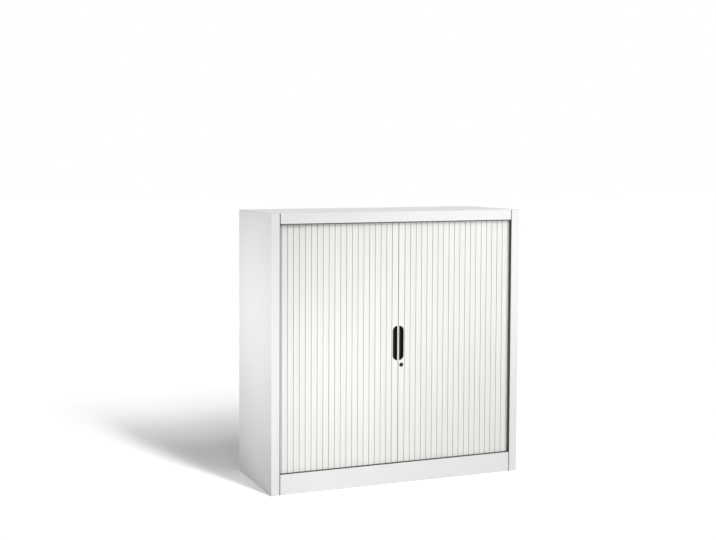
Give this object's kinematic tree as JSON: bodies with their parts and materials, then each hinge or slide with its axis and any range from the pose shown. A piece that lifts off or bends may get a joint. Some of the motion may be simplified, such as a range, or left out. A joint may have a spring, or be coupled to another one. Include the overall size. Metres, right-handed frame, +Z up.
{
  "type": "tambour door cabinet",
  "caption": "Steel filing cabinet with tambour shutters of upright slats that slide sideways round the corners into pockets, with recessed grips, a lock and shelves.",
  "frame": {"origin": "on the floor, at the middle of the footprint", "axes": "+X to the right seen from the front, +Y from the front towards the back, +Z up"},
  "size_m": [1.2, 0.42, 1.2],
  "materials": {
    "carcass": "cool white powder coat, satin",
    "slats": "warm white, fine matt",
    "track": "dark grey, matt",
    "grip": "black, satin",
    "lock": "dark, satin",
    "fitting": "zinc plated"
  },
  "bodies": {
    "carcass": {"side_panel_left": "carcass", "side_panel_right": "carcass", "top_panel": "carcass", "base_panel": "carcass", "plinth": "carcass", "back_panel": "carcass", "top_guide": "track", "bottom_guide": "track", "inner_side_left": "carcass", "inner_side_right": "carcass", "inner_back": "carcass", "lower_shelf": "carcass", "upper_shelf": "carcass"},
    "left_door_edge": {"left_lead_slat": "slats", "left_grip": "grip", "lock_keeper": "fitting"},
    "right_door_edge": {"right_lead_slat": "slats", "right_grip": "grip"},
    "lock": {"lock_cylinder": "lock", "lock_hook": "fitting"},
    "left_slat_01": {"left_slat_01": "slats"},
    "left_slat_02": {"left_slat_02": "slats"},
    "left_slat_03": {"left_slat_03": "slats"},
    "left_slat_04": {"left_slat_04": "slats"},
    "left_slat_05": {"left_slat_05": "slats"},
    "left_slat_06": {"left_slat_06": "slats"},
    "left_slat_07": {"left_slat_07": "slats"},
    "left_slat_08": {"left_slat_08": "slats"},
    "left_slat_09": {"left_slat_09": "slats"},
    "left_slat_10": {"left_slat_10": "slats"},
    "left_slat_11": {"left_slat_11": "slats"},
    "left_slat_12": {"left_slat_12": "slats"},
    "left_slat_13": {"left_slat_13": "slats"},
    "left_slat_14": {"left_slat_14": "slats"},
    "left_slat_15": {"left_slat_15": "slats"},
    "left_slat_16": {"left_slat_16": "slats"},
    "left_slat_17": {"left_slat_17": "slats"},
    "left_slat_18": {"left_slat_18": "slats"},
    "left_slat_19": {"left_slat_19": "slats"},
    "left_slat_20": {"left_slat_20": "slats"},
    "right_slat_01": {"right_slat_01": "slats"},
    "right_slat_02": {"right_slat_02": "slats"},
    "right_slat_03": {"right_slat_03": "slats"},
    "right_slat_04": {"right_slat_04": "slats"},
    "right_slat_05": {"right_slat_05": "slats"},
    "right_slat_06": {"right_slat_06": "slats"},
    "right_slat_07": {"right_slat_07": "slats"},
    "right_slat_08": {"right_slat_08": "slats"},
    "right_slat_09": {"right_slat_09": "slats"},
    "right_slat_10": {"right_slat_10": "slats"},
    "right_slat_11": {"right_slat_11": "slats"},
    "right_slat_12": {"right_slat_12": "slats"},
    "right_slat_13": {"right_slat_13": "slats"},
    "right_slat_14": {"right_slat_14": "slats"},
    "right_slat_15": {"right_slat_15": "slats"},
    "right_slat_16": {"right_slat_16": "slats"},
    "right_slat_17": {"right_slat_17": "slats"},
    "right_slat_18": {"right_slat_18": "slats"},
    "right_slat_19": {"right_slat_19": "slats"},
    "right_slat_20": {"right_slat_20": "slats"}
  },
  "joints": [
    {"name": "left_door_slide", "type": "slide", "parent": "carcass", "child": "left_door_edge", "axis": [-1, 0, 0], "range_m": [0, 0.53]},
    {"name": "right_door_slide", "type": "slide", "parent": "carcass", "child": "right_door_edge", "axis": [1, 0, 0], "range_m": [0, 0.53]},
    {"name": "left_slat_01_slide", "type": "slide", "parent": "carcass", "child": "left_slat_01", "axis": [-1, 0, 0], "range_m": [0, 0.5305], "deforming": ["left_slat_01"]},
    {"name": "left_slat_02_slide", "type": "slide", "parent": "carcass", "child": "left_slat_02", "axis": [-1, 0.0003, 0], "range_m": [0, 0.5032], "deforming": ["left_slat_02"]},
    {"name": "left_slat_03_slide", "type": "slide", "parent": "carcass", "child": "left_slat_03", "axis": [-1, 0.0006, 0], "range_m": [0, 0.4759], "deforming": ["left_slat_03"]},
    {"name": "left_slat_04_slide", "type": "slide", "parent": "carcass", "child": "left_slat_04", "axis": [-1, 0.001, 0], "range_m": [0, 0.4486], "deforming": ["left_slat_04"]},
    {"name": "left_slat_05_slide", "type": "slide", "parent": "carcass", "child": "left_slat_05", "axis": [-1, 0.0014, 0], "range_m": [0, 0.4212], "deforming": ["left_slat_05"]},
    {"name": "left_slat_06_slide", "type": "slide", "parent": "carcass", "child": "left_slat_06", "axis": [-1, 0.0019, 0], "range_m": [0, 0.3939], "deforming": ["left_slat_06"]},
    {"name": "left_slat_07_slide", "type": "slide", "parent": "carcass", "child": "left_slat_07", "axis": [-1, 0.0025, 0], "range_m": [0, 0.3666], "deforming": ["left_slat_07"]},
    {"name": "left_slat_08_slide", "type": "slide", "parent": "carcass", "child": "left_slat_08", "axis": [-1, 0.0031, 0], "range_m": [0, 0.3393], "deforming": ["left_slat_08"]},
    {"name": "left_slat_09_slide", "type": "slide", "parent": "carcass", "child": "left_slat_09", "axis": [-1, 0.0039, 0], "range_m": [0, 0.312], "deforming": ["left_slat_09"]},
    {"name": "left_slat_10_slide", "type": "slide", "parent": "carcass", "child": "left_slat_10", "axis": [-1, 0.0048, 0], "range_m": [0, 0.2847], "deforming": ["left_slat_10"]},
    {"name": "left_slat_11_slide", "type": "slide", "parent": "carcass", "child": "left_slat_11", "axis": [-1, 0.0058, 0], "range_m": [0, 0.2574], "deforming": ["left_slat_11"]},
    {"name": "left_slat_12_slide", "type": "slide", "parent": "carcass", "child": "left_slat_12", "axis": [-1, 0.0072, 0], "range_m": [0, 0.23], "deforming": ["left_slat_12"]},
    {"name": "left_slat_13_slide", "type": "slide", "parent": "carcass", "child": "left_slat_13", "axis": [-1, 0.0089, 0], "range_m": [0, 0.2027], "deforming": ["left_slat_13"]},
    {"name": "left_slat_14_slide", "type": "slide", "parent": "carcass", "child": "left_slat_14", "axis": [-0.9999, 0.0111, 0], "range_m": [0, 0.1754], "deforming": ["left_slat_14"]},
    {"name": "left_slat_15_slide", "type": "slide", "parent": "carcass", "child": "left_slat_15", "axis": [-0.9999, 0.0142, 0], "range_m": [0, 0.1481], "deforming": ["left_slat_15"]},
    {"name": "left_slat_16_slide", "type": "slide", "parent": "carcass", "child": "left_slat_16", "axis": [-0.9998, 0.0187, 0], "range_m": [0, 0.1208], "deforming": ["left_slat_16"]},
    {"name": "left_slat_17_slide", "type": "slide", "parent": "carcass", "child": "left_slat_17", "axis": [-0.9997, 0.0258, 0], "range_m": [0, 0.0935], "deforming": ["left_slat_17"]},
    {"name": "left_slat_18_slide", "type": "slide", "parent": "carcass", "child": "left_slat_18", "axis": [-0.9992, 0.0388, 0], "range_m": [0, 0.0662], "deforming": ["left_slat_18"]},
    {"name": "left_slat_19_slide", "type": "slide", "parent": "carcass", "child": "left_slat_19", "axis": [-0.9975, 0.0703, 0], "range_m": [0, 0.0389], "deforming": ["left_slat_19"]},
    {"name": "left_slat_20_slide", "type": "slide", "parent": "carcass", "child": "left_slat_20", "axis": [-0.9681, 0.2505, 0], "range_m": [0, 0.0119], "deforming": ["left_slat_20"]},
    {"name": "right_slat_01_slide", "type": "slide", "parent": "carcass", "child": "right_slat_01", "axis": [1, 0, 0], "range_m": [0, 0.5305], "deforming": ["right_slat_01"]},
    {"name": "right_slat_02_slide", "type": "slide", "parent": "carcass", "child": "right_slat_02", "axis": [1, 0.0003, 0], "range_m": [0, 0.5032], "deforming": ["right_slat_02"]},
    {"name": "right_slat_03_slide", "type": "slide", "parent": "carcass", "child": "right_slat_03", "axis": [1, 0.0006, 0], "range_m": [0, 0.4759], "deforming": ["right_slat_03"]},
    {"name": "right_slat_04_slide", "type": "slide", "parent": "carcass", "child": "right_slat_04", "axis": [1, 0.001, 0], "range_m": [0, 0.4486], "deforming": ["right_slat_04"]},
    {"name": "right_slat_05_slide", "type": "slide", "parent": "carcass", "child": "right_slat_05", "axis": [1, 0.0014, 0], "range_m": [0, 0.4212], "deforming": ["right_slat_05"]},
    {"name": "right_slat_06_slide", "type": "slide", "parent": "carcass", "child": "right_slat_06", "axis": [1, 0.0019, 0], "range_m": [0, 0.3939], "deforming": ["right_slat_06"]},
    {"name": "right_slat_07_slide", "type": "slide", "parent": "carcass", "child": "right_slat_07", "axis": [1, 0.0025, 0], "range_m": [0, 0.3666], "deforming": ["right_slat_07"]},
    {"name": "right_slat_08_slide", "type": "slide", "parent": "carcass", "child": "right_slat_08", "axis": [1, 0.0031, 0], "range_m": [0, 0.3393], "deforming": ["right_slat_08"]},
    {"name": "right_slat_09_slide", "type": "slide", "parent": "carcass", "child": "right_slat_09", "axis": [1, 0.0039, 0], "range_m": [0, 0.312], "deforming": ["right_slat_09"]},
    {"name": "right_slat_10_slide", "type": "slide", "parent": "carcass", "child": "right_slat_10", "axis": [1, 0.0048, 0], "range_m": [0, 0.2847], "deforming": ["right_slat_10"]},
    {"name": "right_slat_11_slide", "type": "slide", "parent": "carcass", "child": "right_slat_11", "axis": [1, 0.0058, 0], "range_m": [0, 0.2574], "deforming": ["right_slat_11"]},
    {"name": "right_slat_12_slide", "type": "slide", "parent": "carcass", "child": "right_slat_12", "axis": [1, 0.0072, 0], "range_m": [0, 0.23], "deforming": ["right_slat_12"]},
    {"name": "right_slat_13_slide", "type": "slide", "parent": "carcass", "child": "right_slat_13", "axis": [1, 0.0089, 0], "range_m": [0, 0.2027], "deforming": ["right_slat_13"]},
    {"name": "right_slat_14_slide", "type": "slide", "parent": "carcass", "child": "right_slat_14", "axis": [0.9999, 0.0111, 0], "range_m": [0, 0.1754], "deforming": ["right_slat_14"]},
    {"name": "right_slat_15_slide", "type": "slide", "parent": "carcass", "child": "right_slat_15", "axis": [0.9999, 0.0142, 0], "range_m": [0, 0.1481], "deforming": ["right_slat_15"]},
    {"name": "right_slat_16_slide", "type": "slide", "parent": "carcass", "child": "right_slat_16", "axis": [0.9998, 0.0187, 0], "range_m": [0, 0.1208], "deforming": ["right_slat_16"]},
    {"name": "right_slat_17_slide", "type": "slide", "parent": "carcass", "child": "right_slat_17", "axis": [0.9997, 0.0258, 0], "range_m": [0, 0.0935], "deforming": ["right_slat_17"]},
    {"name": "right_slat_18_slide", "type": "slide", "parent": "carcass", "child": "right_slat_18", "axis": [0.9992, 0.0388, 0], "range_m": [0, 0.0662], "deforming": ["right_slat_18"]},
    {"name": "right_slat_19_slide", "type": "slide", "parent": "carcass", "child": "right_slat_19", "axis": [0.9975, 0.0703, 0], "range_m": [0, 0.0389], "deforming": ["right_slat_19"]},
    {"name": "right_slat_20_slide", "type": "slide", "parent": "carcass", "child": "right_slat_20", "axis": [0.9681, 0.2505, 0], "range_m": [0, 0.0119], "deforming": ["right_slat_20"]},
    {"name": "lock_turn", "type": "hinge", "parent": "right_door_edge", "child": "lock", "pos_m": [0.0156, -0.171, 0.523], "axis": [0, 1, 0], "range_deg": [0, 90]}
  ],
  "couplings": [
    {"joint": "left_slat_01_slide", "follows": "left_door_slide", "ratio": 1},
    {"joint": "left_slat_02_slide", "follows": "left_door_slide", "ratio": 0.94846},
    {"joint": "left_slat_03_slide", "follows": "left_door_slide", "ratio": 0.89692},
    {"joint": "left_slat_04_slide", "follows": "left_door_slide", "ratio": 0.84539},
    {"joint": "left_slat_05_slide", "follows": "left_door_slide", "ratio": 0.79385},
    {"joint": "left_slat_06_slide", "follows": "left_door_slide", "ratio": 0.74231},
    {"joint": "left_slat_07_slide", "follows": "left_door_slide", "ratio": 0.69078},
    {"joint": "left_slat_08_slide", "follows": "left_door_slide", "ratio": 0.63924},
    {"joint": "left_slat_09_slide", "follows": "left_door_slide", "ratio": 0.5877},
    {"joint": "left_slat_10_slide", "follows": "left_door_slide", "ratio": 0.53617},
    {"joint": "left_slat_11_slide", "follows": "left_door_slide", "ratio": 0.48463},
    {"joint": "left_slat_12_slide", "follows": "left_door_slide", "ratio": 0.4331},
    {"joint": "left_slat_13_slide", "follows": "left_door_slide", "ratio": 0.38156},
    {"joint": "left_slat_14_slide", "follows": "left_door_slide", "ratio": 0.33003},
    {"joint": "left_slat_15_slide", "follows": "left_door_slide", "ratio": 0.2785},
    {"joint": "left_slat_16_slide", "follows": "left_door_slide", "ratio": 0.22697},
    {"joint": "left_slat_17_slide", "follows": "left_door_slide", "ratio": 0.17545},
    {"joint": "left_slat_18_slide", "follows": "left_door_slide", "ratio": 0.12395},
    {"joint": "left_slat_19_slide", "follows": "left_door_slide", "ratio": 0.0725},
    {"joint": "left_slat_20_slide", "follows": "left_door_slide", "ratio": 0.02147},
    {"joint": "right_slat_01_slide", "follows": "right_door_slide", "ratio": 1},
    {"joint": "right_slat_02_slide", "follows": "right_door_slide", "ratio": 0.94846},
    {"joint": "right_slat_03_slide", "follows": "right_door_slide", "ratio": 0.89692},
    {"joint": "right_slat_04_slide", "follows": "right_door_slide", "ratio": 0.84539},
    {"joint": "right_slat_05_slide", "follows": "right_door_slide", "ratio": 0.79385},
    {"joint": "right_slat_06_slide", "follows": "right_door_slide", "ratio": 0.74231},
    {"joint": "right_slat_07_slide", "follows": "right_door_slide", "ratio": 0.69078},
    {"joint": "right_slat_08_slide", "follows": "right_door_slide", "ratio": 0.63924},
    {"joint": "right_slat_09_slide", "follows": "right_door_slide", "ratio": 0.5877},
    {"joint": "right_slat_10_slide", "follows": "right_door_slide", "ratio": 0.53617},
    {"joint": "right_slat_11_slide", "follows": "right_door_slide", "ratio": 0.48463},
    {"joint": "right_slat_12_slide", "follows": "right_door_slide", "ratio": 0.4331},
    {"joint": "right_slat_13_slide", "follows": "right_door_slide", "ratio": 0.38156},
    {"joint": "right_slat_14_slide", "follows": "right_door_slide", "ratio": 0.33003},
    {"joint": "right_slat_15_slide", "follows": "right_door_slide", "ratio": 0.2785},
    {"joint": "right_slat_16_slide", "follows": "right_door_slide", "ratio": 0.22697},
    {"joint": "right_slat_17_slide", "follows": "right_door_slide", "ratio": 0.17545},
    {"joint": "right_slat_18_slide", "follows": "right_door_slide", "ratio": 0.12395},
    {"joint": "right_slat_19_slide", "follows": "right_door_slide", "ratio": 0.0725},
    {"joint": "right_slat_20_slide", "follows": "right_door_slide", "ratio": 0.02147}
  ]
}
